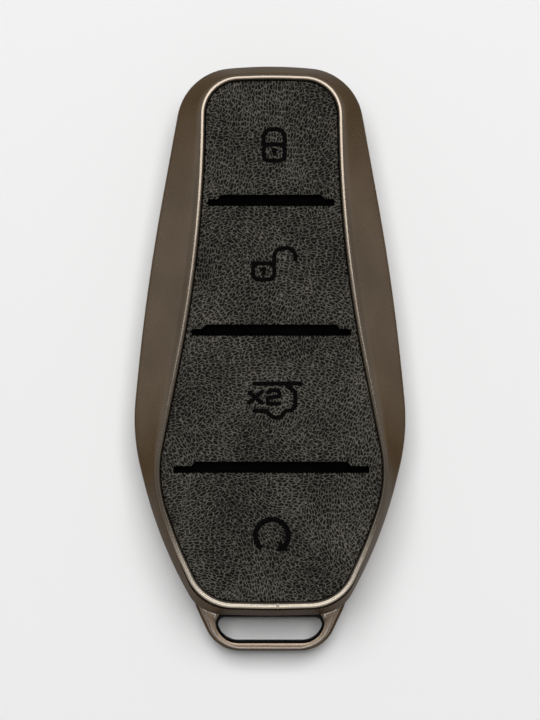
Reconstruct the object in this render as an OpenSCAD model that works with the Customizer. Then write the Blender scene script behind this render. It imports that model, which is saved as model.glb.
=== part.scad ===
// Key fob cover: two metal half shells with lined insides, a leather panel cut into four
// keys on the front, a leather panel on the rear and a slotted loop for a key ring.
// The +Z side carries the keys, and +Y points to the narrow end.

/* [Body] */
// Length of the metal body without its loop
body_length = 90; // [86:1:96]
// Width of the body at its widest place
body_width = 44.4; // [42:0.2:48]
// Thickness from the rear rim to the crown of the trim ring
body_thickness = 18.6; // [18:0.1:21]
// Height of the upright band round the side
band_height = 2.7; // [2.5:0.1:3.2]
// Plan width of the sloping flank at each end
end_flank = 2.34; // [2.1:0.1:2.8]
// Plan width of the sloping flank at the widest place
side_flank = 3.8; // [3.4:0.1:4.4]
// Wall of the metal frames, measured in plan
frame_wall = 1.3; // [1.1:0.05:1.4]
// Gap between the two halves at the parting line
split_gap = 0.1; // [0.05:0.05:0.3]
// Chamfer on the edges at the parting line
edge_chamfer = 0.15; // [0.05:0.05:0.3]
// Rise of the flank's slight outward swell
flank_swell = 0.1; // [0:0.05:0.3]

/* [Trim ring] */
// Width of the polished ring
ring_width = 0.92; // [0.8:0.04:1.2]
// Height of the ring from its seat to its crown
ring_height = 1.6; // [1.4:0.1:2]
// How far the ring stands above the flank
ring_proud = 0.8; // [0.5:0.1:1]
// Thickness of the metal lip under the ring
lip_thickness = 0.7; // [0.5:0.1:0.9]

/* [Leather] */
// Thickness of the leather
leather_thickness = 0.8; // [0.6:0.1:1]
// Depth of the front leather below the ring's crown
leather_sink = 0.7; // [0.5:0.1:0.9]
// Gap between the leather's edge and the ring
leather_gap = 0.22; // [0.15:0.01:0.35]
// Width of the fixed leather margin round the keys
margin_width = 0.8; // [0.6:0.1:1]
// Gap that stands for the flex line round each key
flex_gap = 0.25; // [0.2:0.05:0.4]
// Depth of the rear leather inside the rear rim
rear_sink = 0.35; // [0.2:0.05:0.6]
// Thickness of the board behind the rear leather
board_thickness = 0.6; // [0.4:0.1:1]

/* [Slits] */
// Height of a slit along its wide middle
slit_height = 1.79; // [1.5:0.1:2.2]
// Height of a slit along its thin ends
slit_end_height = 1.08; // [0.8:0.1:1.3]
// Length of the bevel between the thin end and the wide middle
slit_bevel = 0.6; // [0.3:0.1:1]
// Sideways offset of the slits
slit_offset = 0.2; // [-0.5:0.1:0.5]
// Height of the mat's bar behind each slit
bar_height = 2.4; // [2.2:0.1:2.8]

/* [Keys] */
// Travel of a key
key_travel = 0.5; // [0.3:0.05:0.6]
// Gap left over a bar of the mat when the key beside it is pressed
travel_spare = 0.2; // [0.1:0.05:0.3]
// Thickness of the mat's trapped flange
flange_thickness = 0.35; // [0.25:0.05:0.5]
// Gap between that flange and the metal lip over it
flange_gap = 0.05; // [0.02:0.01:0.1]
// Diameter of the nub that presses the fob's own button
nub_diameter = 3; // [2:0.5:5]
// Length of that nub
nub_length = 0.6; // [0.4:0.1:0.8]

/* [Liner] */
// Wall of the black liners
liner_wall = 0.8; // [0.6:0.1:1]
// Gap between a liner and the frame round it
liner_gap = 0.15; // [0.1:0.05:0.25]
// How far the rear liner's rim stands into the front half
rim_reach = 0.75; // [0.5:0.05:1]
// Gap above that rim
rim_gap = 0.1; // [0.05:0.05:0.3]
// How far a snap rib stands out of the rim
snap_reach = 0.1; // [0.05:0.01:0.12]
// Radius of a snap rib
snap_radius = 0.2; // [0.15:0.05:0.25]
// Length of a snap rib
snap_length = 6; // [4:0.5:9]
// Depth of the groove in the front frame that takes the ribs
groove_depth = 0.2; // [0.1:0.05:0.3]
// Thickness of the foam cushion
cushion_thickness = 0.5; // [0.3:0.1:0.8]
// Gap round the foam cushion
cushion_gap = 0.5; // [0.3:0.1:1]

/* [Loop] */
// How far the loop reaches past the body's wide end
loop_reach = 6.2; // [6:0.1:8]
// Thickness of the loop
loop_thickness = 4.4; // [3.5:0.1:4.8]
// Width of the loop where it leaves the body
loop_root_width = 24.4; // [23:0.2:26]
// Width of the loop at its outer end, between its sharp corners
loop_tip_width = 17.7; // [15:0.1:20]
// Radius of the loop's outer corners
loop_corner = 6; // [4:0.5:7]
// Clear width of the slot next to the body
slot_root_width = 17.6; // [16:0.2:18]
// Clear width of the slot at its outer side, between its sharp corners
slot_tip_width = 16; // [13:0.2:17]
// Clear height of the slot
slot_height = 4.2; // [4.1:0.1:4.4]
// Radius of the slot's corners next to the body
slot_root_corner = 1.3; // [0.6:0.1:1.6]
// Radius of the slot's outer corners
slot_tip_corner = 3.3; // [2:0.1:3.5]
// Distance of the slot from the body's end
slot_offset_y = 0.15; // [0.1:0.05:0.4]
// Wall of the black bush in the slot
bush_wall = 0.4; // [0.3:0.05:0.5]

/* [Marks] */
// Thickness of the printed marks
mark_thickness = 0.06; // [0.04:0.01:0.1]
// Line width of the marks
mark_line = 0.68; // [0.5:0.02:0.8]
// Width of a padlock mark
padlock_width = 4.1; // [3.6:0.1:4.6]
// Height of a padlock mark's body
padlock_body_height = 3.3; // [3:0.1:3.8]
// Height of a padlock mark's shackle
padlock_shackle_height = 2.45; // [2:0.1:3]
// Width of the boot mark
boot_width = 7.5; // [6.5:0.1:8]
// Height of the boot mark without its number-plate bulge
boot_height = 4.45; // [4:0.1:5]
// Width of the figure in the boot mark, along its line
figure_width = 1.85; // [1.5:0.05:2.1]
// Height of that figure, along its line
figure_height = 2.15; // [1.9:0.05:2.4]
// Diameter of the starting mark along its line
start_diameter = 5.3; // [4.6:0.1:6]
// Line width of the starting mark
start_line = 0.85; // [0.6:0.05:1]

/* [Hidden] */

// Overrun of every cut
cut = 1;

// Heights of the front half
parting_z = body_thickness / 2;
front_bottom_z = parting_z + split_gap / 2;
front_shoulder_z = parting_z + band_height / 2;
flank_top_z = body_thickness - ring_proud;
ring_seat_z = body_thickness - ring_height;
lip_bottom_z = ring_seat_z - lip_thickness;
leather_top_z = body_thickness - leather_sink;
leather_bottom_z = leather_top_z - leather_thickness;
pad_bottom_z = lip_bottom_z - flange_gap - flange_thickness;
bar_top_z = leather_bottom_z - key_travel - travel_spare;
ledge_bottom_z = pad_bottom_z - liner_wall;
rim_top_z = front_bottom_z + rim_reach;
liner_bottom_z = rim_top_z + rim_gap;
groove_z = rim_top_z - rim_reach / 3;

// Heights of the rear half
rear_top_z = parting_z - split_gap / 2;
rear_shoulder_z = parting_z - band_height / 2;
rear_foot_z = ring_proud;
rear_leather_top_z = rear_sink + leather_thickness;
rear_lip_top_z = rear_leather_top_z + board_thickness;
rear_floor_z = rear_lip_top_z + liner_wall;
loop_top_z = rear_shoulder_z - liner_wall / 2;
loop_bottom_z = loop_top_z - loop_thickness;

// Plan shapes: each corner is a share of the half width, of the half length and a radius
// as a share of the half width, from the top centre down the right side
half_length = body_length / 2;
half_width = body_width / 2;
panel_half_length = half_length - end_flank;
panel_half_width = half_width - side_flank;
outer_corner_shares = [
    [0, 1.0061, 3.94], [0.625, 0.9765, 0.515], [0.9085, 0.205, 15.9], [1.019, -0.3375, 1.52],
    [0.825, -0.7273, 3.34], [0.5197, -0.9941, 0.289], [0, -1.0022, 6.75]
];
panel_corner_shares = [
    [0, 0.9979, 5], [0.6, 0.9888, 0.327], [0.63, 0.3445, 11.1], [1.04, -0.531, 1.1],
    [0.845, -0.7693, 3.23], [0.6024, -0.9966, 0.422], [0, -1.003, 6.5]
];
least_radius = 0.1;
crown_steps = 4;
corner_steps = 6;
side_steps = 24;

// Slits from the narrow end down: place of the straight edge as a share of the panel's half
// length, half length of the slit as a share of its half width, wide middle as a share of that
slit_shares = [[0.509, 0.556, 0.793], [0.018, 0.70, 0.816], [-0.501, 0.858, 0.781]];
// Key marks: places as shares of the panel's half width and half length
mark_place_shares = [[0.037, 0.74], [0.038, 0.29], [0.058, -0.22], [0.017, -0.7386]];

// Mean size of the swell and the shoulder along the flank, as shares of its run
shoulder_share = 0.08;
shoulder_pull_share = 0.012;
shoulder_drop_share = 0.22;
swell_share = 0.5;

function mirrored(c) = concat(c, [for (i = [len(c) - 2:-1:1]) [-c[i][0], c[i][1], c[i][2]]]);
function unit(p, q) = (q - p) / norm(q - p);
function spot(c) = [c[0], c[1]];
function cross_z(a, b) = a[0] * b[1] - a[1] * b[0];
function inward(d) = [d[1], -d[0]];
function scaled(shares, w, l) = [for (s = shares) [s[0] * w, s[1] * l, s[2] * w]];

// Closed clockwise corners moved inward by an inset, with their radii kept parallel
function inset_corners(c, inset) = [
    for (i = [0:len(c) - 1])
        let (p = spot(c[(i + len(c) - 1) % len(c)]), q = spot(c[i]), s = spot(c[(i + 1) % len(c)]),
             d1 = unit(p, q), d2 = unit(q, s), n1 = inward(d1), n2 = inward(d2),
             v = q + inset * (n1 + n2) / (1 + n1 * n2),
             r = c[i][2] + (cross_z(d1, d2) > 0 ? inset : -inset))
        [v[0], v[1], max(least_radius, r)]
];

// Half the angle between a corner's two edges
function before(c, i) = (i + len(c) - 1) % len(c);
function after(c, i) = (i + 1) % len(c);
function half_angle(c, i) =
    let (a = unit(spot(c[i]), spot(c[before(c, i)])), b = unit(spot(c[i]), spot(c[after(c, i)])))
    acos(max(-1, min(1, a * b))) / 2;

// Length that a corner's rounding takes from each of its edges, and the same where two
// roundings that meet on a short edge share it in proportion
function wanted(c, i) = c[i][2] / tan(half_angle(c, i));
function edge_length(c, i) = norm(spot(c[after(c, i)]) - spot(c[i]));
function taken(c, i) =
    let (w = wanted(c, i))
    w * min(1, edge_length(c, before(c, i)) / (w + wanted(c, before(c, i))),
            edge_length(c, i) / (w + wanted(c, after(c, i))));

// Points of the rounding at one corner
function corner_arc(c, i, steps) =
    let (q = spot(c[i]), a = unit(q, spot(c[before(c, i)])), b = unit(q, spot(c[after(c, i)])),
         half = half_angle(c, i), t = taken(c, i),
         r = t * tan(half), centre = q + unit([0, 0], a + b) * r / sin(half),
         from = q + a * t - centre, to = q + b * t - centre,
         turn = atan2(cross_z(from, to), from * to))
    [for (k = [0:steps]) let (w = turn * k / steps)
        centre + [from[0] * cos(w) - from[1] * sin(w), from[0] * sin(w) + from[1] * cos(w)]];

// A path walked again in equal steps, without its two ends
function along(path) = [for (i = 0, s = 0; i < len(path);
    i = i + 1, s = i < len(path) ? s + norm(path[i] - path[i - 1]) : s) s];
function resampled(path, steps) =
    let (s = along(path), last = len(path) - 1,
         xs = [for (i = [0:last]) [s[i], path[i][0]]], ys = [for (i = [0:last]) [s[i], path[i][1]]])
    [for (k = [1:steps - 1]) let (t = s[last] * k / steps) [lookup(t, xs), lookup(t, ys)]];

// Right side of a plan shape from the top centre to the bottom centre
function right_side(c) =
    let (top = corner_arc(c, 0, crown_steps), first = corner_arc(c, 1, corner_steps),
         last = corner_arc(c, 5, corner_steps), bottom = corner_arc(c, 6, crown_steps),
         side = concat([first[corner_steps]], corner_arc(c, 2, corner_steps),
                       corner_arc(c, 3, corner_steps), corner_arc(c, 4, corner_steps), [last[0]]))
    concat([for (k = [crown_steps / 2:crown_steps]) top[k]], first, resampled(side, side_steps),
           last, [for (k = [0:crown_steps / 2]) bottom[k]]);
function both_sides(r) = concat(r, [for (i = [len(r) - 2:-1:1]) [-r[i][0], r[i][1]]]);

outer_corners = mirrored(scaled(outer_corner_shares, half_width, half_length));
panel_corners = mirrored(scaled(panel_corner_shares, panel_half_width, panel_half_length));
function outer_plan(inset) = both_sides(right_side(inset_corners(outer_corners, inset)));
function panel_plan(inset) = both_sides(right_side(inset_corners(panel_corners, inset)));

// Plan between the body's outline and the ring's outer edge: share 0 is the body's outline
function plan(share, inset) =
    let (o = outer_plan(inset), p = panel_plan(inset - ring_width / 2))
    [for (i = [0:len(o) - 1]) (1 - share) * o[i] + share * p[i]];
function front_share(z) = (z - front_shoulder_z) / (flank_top_z - front_shoulder_z);
function rear_share(z) = (rear_shoulder_z - z) / (rear_shoulder_z - rear_foot_z);
function front_z(share) = front_shoulder_z + share * (flank_top_z - front_shoulder_z);
function rear_z(share) = rear_shoulder_z - share * (rear_shoulder_z - rear_foot_z);

// Insets from the ring's outer edge
leather_inset = ring_width + leather_gap;
margin_inset = leather_inset + margin_width;
key_inset = margin_inset + flex_gap;
frame_inset = frame_wall;
liner_inset = frame_wall + liner_gap;
cavity_inset = liner_inset + liner_wall;
// The frames' walls thin out towards the ring and the rear rim, which leaves a lip inside
lip_inset = ring_width;
lip_liner_inset = lip_inset + liner_gap;

body_plan = outer_plan(0);
body_top_y = max([for (p = body_plan) p[1]]);
body_end_y = min([for (p = body_plan) p[1]]);
loop_end_y = body_end_y - loop_reach;
centre_y = -(body_top_y + loop_end_y) / 2;

// Solid through a list of levels, each a share, an inset and a height, from the outer foot
// up and then in and down. Capped ends close a tray, and an uncapped list closes a ring.
// A wall is cut along the same diagonal whether its levels rise or fall, so that two
// pieces which lie in each other keep their gap.
module lofted(levels, capped = false) {
    rings = [for (l = levels) [for (p = plan(l[0], l[1])) [p[0], p[1], l[2]]]];
    n = len(rings[0]);
    m = len(rings);
    points = [for (r = rings) each r];
    walls = [for (j = [0:m - (capped ? 2 : 1)]) for (i = [0:n - 1])
        let (a = j * n + i, b = j * n + (i + 1) % n, c = ((j + 1) % m) * n + (i + 1) % n,
             d = ((j + 1) % m) * n + i, rises = levels[(j + 1) % m][2] >= levels[j][2])
        each rises ? [[b, c, d], [b, d, a]] : [[a, b, c], [a, c, d]]];
    caps = capped ? [[for (i = [n - 1:-1:0]) i], [for (i = [0:n - 1]) (m - 1) * n + i]] : [];
    polyhedron(points, concat(walls, caps));
}

// Flat slab of a plan between two heights
module slab(share, inset, z0, z1) {
    translate([0, 0, z0]) linear_extrude(z1 - z0) polygon(plan(share, inset));
}

module slab_ring(outer, inner, z0, z1) {
    difference() {
        slab(1, outer, z0, z1);
        slab(1, inner, z0 - cut, z1 + cut);
    }
}

module metal() { color("#6a5d50") children(); }
module polished() { color("#c9c1b2") children(); }
module leather() { color("#3b3a36") children(); }
module rubber() { color("#141314") children(); }
module moulded() { color("#1c1c1d") children(); }

// Rear half

function two_sided(c) = concat(c, [for (i = [len(c) - 1:-1:0]) [-c[i][0], c[i][1], c[i][2]]]);
// Corners of the loop's root, where it spreads along the body's side: outward as shares of the
// frame's wall, along as shares of the end flank, and radii as shares of the wall
loop_root_shares = [[0, 2.3, 0.1], [0.5, 1.3, 1.5], [0, 0.4, 3]];
loop_corners = two_sided(concat(
    [for (s = loop_root_shares) [loop_root_width / 2 + s[0] * frame_wall,
                                 body_end_y + s[1] * end_flank, s[2] * frame_wall]],
    [[loop_tip_width / 2, loop_end_y, loop_corner]]
));
slot_top_y = body_end_y - slot_offset_y;
slot_corners = two_sided([
    [slot_root_width / 2, slot_top_y, slot_root_corner],
    [slot_tip_width / 2, slot_top_y - slot_height, slot_tip_corner]
]);
function rounded(c) = [for (i = [0:len(c) - 1]) each corner_arc(c, i, corner_steps)];

module slot(inset, overrun) {
    translate([0, 0, loop_bottom_z - overrun])
        linear_extrude(loop_thickness + 2 * overrun) polygon(rounded(inset_corners(slot_corners, inset)));
}

// The loop ends in the middle of the body's sloping wall
module loop_plate() {
    foot_z = loop_bottom_z - liner_wall;
    difference() {
        translate([0, 0, loop_bottom_z])
            linear_extrude(loop_thickness) polygon(rounded(loop_corners));
        lofted([
            [rear_share(foot_z), frame_wall / 2, foot_z],
            [shoulder_share, frame_wall / 2, rear_z(shoulder_share)],
            [0, frame_wall / 2, rear_shoulder_z]
        ], capped = true);
    }
}

module rear_frame() {
    swell_z = rear_z(swell_share);
    shoulder_z = rear_z(shoulder_share);
    metal() difference() {
        union() {
            lofted([
                [1, ring_width / 3, 0],
                [1, ring_width / 9, rear_foot_z / 3],
                [1, 0, rear_foot_z],
                [swell_share, -flank_swell, swell_z],
                [shoulder_share, 0, shoulder_z],
                [shoulder_pull_share, 0, rear_shoulder_z],
                [0, 0, rear_shoulder_z + band_height * shoulder_drop_share],
                [0, 0, rear_top_z - edge_chamfer],
                [0, edge_chamfer, rear_top_z],
                [0, frame_inset, rear_top_z],
                [0, frame_inset, rear_shoulder_z],
                [shoulder_share, frame_inset, shoulder_z],
                [rear_share(rear_lip_top_z), lip_inset, rear_lip_top_z],
                [1, ring_width, rear_lip_top_z],
                [1, ring_width, edge_chamfer],
                [1, ring_width - edge_chamfer, 0]
            ]);
            loop_plate();
        }
        slot(-bush_wall, cut);
    }
}

module rear_leather() { leather() slab(1, ring_width + liner_gap, rear_sink, rear_leather_top_z); }
module rear_board() { moulded() slab(1, ring_width + liner_gap, rear_leather_top_z, rear_lip_top_z); }

// Half width of a plan at a place along Y, and its lean there
function half_width_at(path, y) =
    lookup(y, [for (i = [len(path) - 1:-1:0]) [path[i][1], path[i][0]]]);

module snap_rib(y) {
    side = right_side(inset_corners(outer_corners, liner_inset - snap_reach + snap_radius));
    p = [half_width_at(side, y + snap_length / 2), y + snap_length / 2];
    q = [half_width_at(side, y - snap_length / 2), y - snap_length / 2];
    for (flip = [0, 1]) mirror([flip, 0, 0])
        translate([p[0], p[1], groove_z])
            rotate([0, 0, atan2(q[1] - p[1], q[0] - p[0])])
                rotate([0, 90, 0]) cylinder(r = snap_radius, h = norm(q - p), $fn = 16);
}

// Snap ribs along the side, as shares of the half length
snap_place_shares = [0.55, 0, -0.55];

module rear_liner() {
    moulded() union() {
        lofted([
            [rear_share(rear_lip_top_z), lip_liner_inset, rear_lip_top_z],
            [shoulder_share, liner_inset, rear_z(shoulder_share)],
            [0, liner_inset, rear_shoulder_z],
            [0, liner_inset, rim_top_z - edge_chamfer],
            [0, liner_inset + edge_chamfer, rim_top_z],
            [0, cavity_inset, rim_top_z],
            [0, cavity_inset, rear_shoulder_z],
            [shoulder_share, cavity_inset, rear_z(shoulder_share)],
            [rear_share(rear_floor_z), cavity_inset, rear_floor_z]
        ], capped = true);
        for (s = snap_place_shares) snap_rib(s * half_length);
    }
}

module rear_cushion() {
    moulded() slab(rear_share(rear_floor_z), cavity_inset + cushion_gap, rear_floor_z,
                   rear_floor_z + cushion_thickness);
}

module slot_bush() {
    rubber() difference() {
        slot(-bush_wall, 0);
        slot(0, cut);
    }
}

// Front half

module front_frame() {
    shoulder_z = front_z(shoulder_share);
    metal() lofted([
        [0, edge_chamfer, front_bottom_z],
        [0, 0, front_bottom_z + edge_chamfer],
        [0, 0, front_shoulder_z - band_height * shoulder_drop_share],
        [shoulder_pull_share, 0, front_shoulder_z],
        [shoulder_share, 0, shoulder_z],
        [swell_share, -flank_swell, front_z(swell_share)],
        [1, 0, flank_top_z],
        [1, 0, ring_seat_z],
        [1, ring_width, ring_seat_z],
        [1, ring_width, lip_bottom_z],
        [front_share(lip_bottom_z), lip_inset, lip_bottom_z],
        [shoulder_share, frame_inset, shoulder_z],
        [0, frame_inset, front_shoulder_z],
        [0, frame_inset, groove_z + snap_radius + rim_gap],
        [0, frame_inset - groove_depth, groove_z + snap_radius],
        [0, frame_inset - groove_depth, groove_z - snap_radius],
        [0, frame_inset, groove_z - snap_radius - rim_gap],
        [0, frame_inset, front_bottom_z]
    ]);
}

// Section of the ring: insets as shares of its width, and heights as shares of its stand
ring_section_shares = [
    [0, 0], [0.09, 0.5], [0.3, 0.9], [0.5, 1], [0.7, 0.9], [0.91, 0.5], [1, 0.1]
];

module trim_ring() {
    polished() lofted(concat(
        [[1, 0, ring_seat_z]],
        [for (s = ring_section_shares) [1, s[0] * ring_width, flank_top_z + s[1] * ring_proud]],
        [[1, ring_width, ring_seat_z]]
    ));
}

module front_liner() {
    moulded() lofted([
        [0, liner_inset, liner_bottom_z],
        [0, liner_inset, front_shoulder_z],
        [shoulder_share, liner_inset, front_z(shoulder_share)],
        [front_share(pad_bottom_z), lip_liner_inset + liner_gap, pad_bottom_z],
        [1, margin_inset, pad_bottom_z],
        [1, margin_inset, ledge_bottom_z],
        [front_share(ledge_bottom_z), cavity_inset, ledge_bottom_z],
        [shoulder_share, cavity_inset, front_z(shoulder_share)],
        [0, cavity_inset, front_shoulder_z],
        [0, cavity_inset, liner_bottom_z]
    ]);
}

// Slit places
slit_edges = [for (s = slit_shares) s[0] * panel_half_length];
slit_halves = [for (s = slit_shares) s[1] * panel_half_width];
slit_middles = [for (e = slit_edges) e + slit_height / 2];

module slit(i, z0, z1) {
    h = slit_halves[i];
    w = h * slit_shares[i][2];
    translate([slit_offset, slit_edges[i], z0]) linear_extrude(z1 - z0) polygon([
        [-h, 0], [-h, slit_end_height], [-w - slit_bevel, slit_end_height], [-w, slit_height],
        [w, slit_height], [w + slit_bevel, slit_end_height], [h, slit_end_height], [h, 0]
    ]);
}

module slits(z0, z1) {
    for (i = [0:len(slit_shares) - 1]) slit(i, z0, z1);
}

module bars(half_height, z0, z1) {
    for (y = slit_middles)
        translate([-body_width / 2, y - half_height, z0])
            cube([body_width, 2 * half_height, z1 - z0]);
}

module button_mat() {
    rubber() difference() {
        union() {
            slab(front_share(lip_bottom_z), lip_liner_inset, pad_bottom_z,
                 pad_bottom_z + flange_thickness);
            slab(1, leather_inset, pad_bottom_z, leather_bottom_z);
        }
        difference() {
            slab(1, margin_inset, pad_bottom_z - cut, leather_bottom_z + cut);
            bars(bar_height / 2, pad_bottom_z - cut, bar_top_z);
        }
    }
}

module front_leather() {
    leather() difference() {
        slab_ring(leather_inset, margin_inset, leather_bottom_z, leather_top_z);
        slits(leather_bottom_z - cut, leather_top_z + cut);
    }
}

// Band of the panel that belongs to one key, from the slit above it to the slit below it
flex_lines = [for (e = slit_edges) e + slit_end_height / 2];
bounds_y = concat([half_length], flex_lines, [-half_length]);

module key_band(k, clearance, z0, z1) {
    translate([-body_width / 2, bounds_y[k + 1] + clearance, z0])
        cube([body_width, bounds_y[k] - bounds_y[k + 1] - 2 * clearance, z1 - z0]);
}

module key_leather(k) {
    leather() difference() {
        intersection() {
            slab(1, key_inset, leather_bottom_z, leather_top_z);
            key_band(k, flex_gap / 2, leather_bottom_z - cut, leather_top_z + cut);
        }
        slits(leather_bottom_z - cut, leather_top_z + cut);
    }
}

mark_places = [for (s = mark_place_shares) [s[0] * panel_half_width, s[1] * panel_half_length]];

module key_pad(k) {
    rubber() union() {
        difference() {
            intersection() {
                slab(1, key_inset, pad_bottom_z, leather_bottom_z);
                key_band(k, 0, pad_bottom_z - cut, leather_bottom_z + cut);
            }
            bars(bar_height / 2 + flex_gap, pad_bottom_z - cut, leather_bottom_z + cut);
        }
        translate([mark_places[k][0], mark_places[k][1], pad_bottom_z - nub_length])
            cylinder(d = nub_diameter, h = nub_length, $fn = 32);
    }
}

module print_on(k) {
    translate([mark_places[k][0], mark_places[k][1], leather_top_z])
        color("#0b0a0b") linear_extrude(mark_thickness) children();
}

// Flat shapes of the marks

module rounded_rect(w, h, r) {
    square([w - 2 * r, h], center = true);
    square([w, h - 2 * r], center = true);
    for (x = [-1, 1], y = [-1, 1])
        translate([x * (w / 2 - r), y * (h / 2 - r)]) circle(r, $fn = 24);
}

module frame_rect(w, h, r) {
    difference() {
        rounded_rect(w, h, r);
        rounded_rect(w - 2 * mark_line, h - 2 * mark_line, r - mark_line);
    }
}

module stroke(p, q) {
    translate(p) rotate(atan2(q[1] - p[1], q[0] - p[0]))
        translate([0, -mark_line / 2]) square([norm(q - p), mark_line]);
    for (e = [p, q]) translate(e) circle(d = mark_line, $fn = 16);
}

module stroke_path(points) {
    for (i = [0:len(points) - 2]) stroke(points[i], points[i + 1]);
}

padlock_round = 0.31 * padlock_width;
shackle_round = 0.42 * padlock_width;

module padlock_body() {
    frame_rect(padlock_width, padlock_body_height, padlock_round);
    translate([0, (padlock_body_height - mark_line) / 2])
        square([padlock_width, mark_line], center = true);
    translate([0, mark_line / 2]) circle(d = 1.3 * mark_line, $fn = 16);
    translate([-0.4 * mark_line, -0.85 * mark_line]) square([0.8 * mark_line, 1.2 * mark_line]);
}

// Arch of a shackle, open at its foot
module shackle() {
    intersection() {
        translate([0, padlock_shackle_height / 2 - shackle_round])
            frame_rect(padlock_width, padlock_shackle_height + 2 * shackle_round, shackle_round);
        translate([-padlock_width / 2, 0]) square([padlock_width, padlock_shackle_height]);
    }
}

module lock_leather() { key_leather(0); }
module lock_pad() { key_pad(0); }
module lock_mark() {
    print_on(0) union() {
        translate([0, -padlock_shackle_height / 2]) padlock_body();
        translate([0, padlock_body_height / 2 - padlock_shackle_height / 2]) shackle();
    }
}

module unlock_leather() { key_leather(1); }
module unlock_pad() { key_pad(1); }
module unlock_mark() {
    print_on(1) union() {
        translate([-(padlock_width - mark_line) / 2, -padlock_shackle_height / 2]) padlock_body();
        translate([(padlock_width - mark_line) / 2, padlock_body_height / 2 - padlock_shackle_height / 2])
            shackle();
    }
}

// Boot mark: points of its line as shares of its width and of its height
boot_line_shares = [
    [-0.48, -0.44], [-0.21, -0.44], [-0.15, -0.57], [-0.08, -0.67], [0.01, -0.7], [0.09, -0.66],
    [0.16, -0.52], [0.2, -0.44], [0.32, -0.42], [0.4, -0.25], [0.4, 0.24], [0.19, 0.54]
];
boot_lid_shares = [[-0.48, 0.55], [0.52, 0.55]];

// Figure two in the boot mark, and its place as shares of the boot's width and height
figure_shares = [
    [-0.5, 0.32], [-0.3, 0.5], [0.3, 0.5], [0.5, 0.32], [0.5, 0.05], [-0.5, -0.05], [-0.5, -0.5],
    [0.5, -0.5]
];
figure_place_shares = [-0.065, 0.065];

// Cross beside the figure: ends of its two lines, as shares of the boot's width and height
cross_shares = [[[-0.58, 0.23], [-0.32, -0.15]], [[-0.59, -0.14], [-0.32, 0.24]]];

module boot_leather() { key_leather(2); }
module boot_pad() { key_pad(2); }
module boot_mark() {
    outline = [for (s = boot_line_shares) [s[0] * boot_width, s[1] * boot_height]];
    print_on(2) union() {
        stroke_path(outline);
        stroke_path([for (s = boot_lid_shares) [s[0] * boot_width, s[1] * boot_height]]);
        for (line = cross_shares)
            stroke_path([for (s = line) [s[0] * boot_width, s[1] * boot_height]]);
        translate([figure_place_shares[0] * boot_width, figure_place_shares[1] * boot_height])
            stroke_path([for (s = figure_shares) [s[0] * figure_width, s[1] * figure_height]]);
    }
}

// Starting mark: the gap's two ends, as angles from +X, and the corners of its arrowhead as
// shares of its diameter
gap_from = 231;
gap_to = 318;
arrow_shares = [[0.25, -0.13], [0.14, -0.46], [0.49, -0.46]];

module start_leather() { key_leather(3); }
module start_pad() { key_pad(3); }
module start_mark() {
    far = start_diameter;
    print_on(3) union() {
        difference() {
            circle(d = start_diameter + start_line, $fn = 48);
            circle(d = start_diameter - start_line, $fn = 48);
            polygon([[0, 0], far * [cos(gap_from), sin(gap_from)], far * [0, -1],
                     far * [cos(gap_to), sin(gap_to)]]);
        }
        polygon(start_diameter * arrow_shares);
    }
}

module placed() { translate([0, centre_y, 0]) children(); }

placed() rear_frame();
placed() rear_leather();
placed() rear_board();
placed() rear_liner();
placed() rear_cushion();
placed() slot_bush();
placed() front_frame();
placed() trim_ring();
placed() front_liner();
placed() button_mat();
placed() front_leather();
placed() lock_leather();
placed() lock_pad();
placed() lock_mark();
placed() unlock_leather();
placed() unlock_pad();
placed() unlock_mark();
placed() boot_leather();
placed() boot_pad();
placed() boot_mark();
placed() start_leather();
placed() start_pad();
placed() start_mark();
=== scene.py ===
import math
import bmesh
import bpy
import numpy as np
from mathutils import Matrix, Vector
from mathutils.geometry import delaunay_2d_cdt


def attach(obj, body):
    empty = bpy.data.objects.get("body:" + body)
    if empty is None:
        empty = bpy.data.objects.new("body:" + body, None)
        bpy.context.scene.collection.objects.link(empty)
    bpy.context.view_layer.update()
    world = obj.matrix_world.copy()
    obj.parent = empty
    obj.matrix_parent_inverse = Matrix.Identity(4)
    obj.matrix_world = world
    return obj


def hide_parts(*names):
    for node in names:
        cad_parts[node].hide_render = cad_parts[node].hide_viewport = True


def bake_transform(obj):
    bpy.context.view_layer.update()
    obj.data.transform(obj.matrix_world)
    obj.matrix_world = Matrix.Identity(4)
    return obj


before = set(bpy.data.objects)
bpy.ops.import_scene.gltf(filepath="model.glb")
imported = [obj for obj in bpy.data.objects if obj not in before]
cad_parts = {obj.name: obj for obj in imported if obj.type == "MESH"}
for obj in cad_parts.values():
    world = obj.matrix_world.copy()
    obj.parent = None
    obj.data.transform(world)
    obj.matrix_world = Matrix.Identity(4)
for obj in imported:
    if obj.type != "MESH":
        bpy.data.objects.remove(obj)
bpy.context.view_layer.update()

# --- Rear shell ---------------------------------------------------------------------------
# The rear half of the cover is one thin zinc-alloy casting: an upright band, a sloping flank
# and a rounded rim that the cover lies on. It is blasted with fine grit and then coated a
# satin bronze, so it shows soft, even reflections and a very fine grain.

MM = 0.001
BODY_SHIFT = 3.13924  # the body's centre in the row frame, mm along +Y

half_width, half_length = 22.2, 45.0
panel_half_width, panel_half_length = 18.4, 42.66
ring_width = 0.92
frame_wall = 1.3
flank_run = 3.3  # typical plan width of the flank, mm

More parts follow.
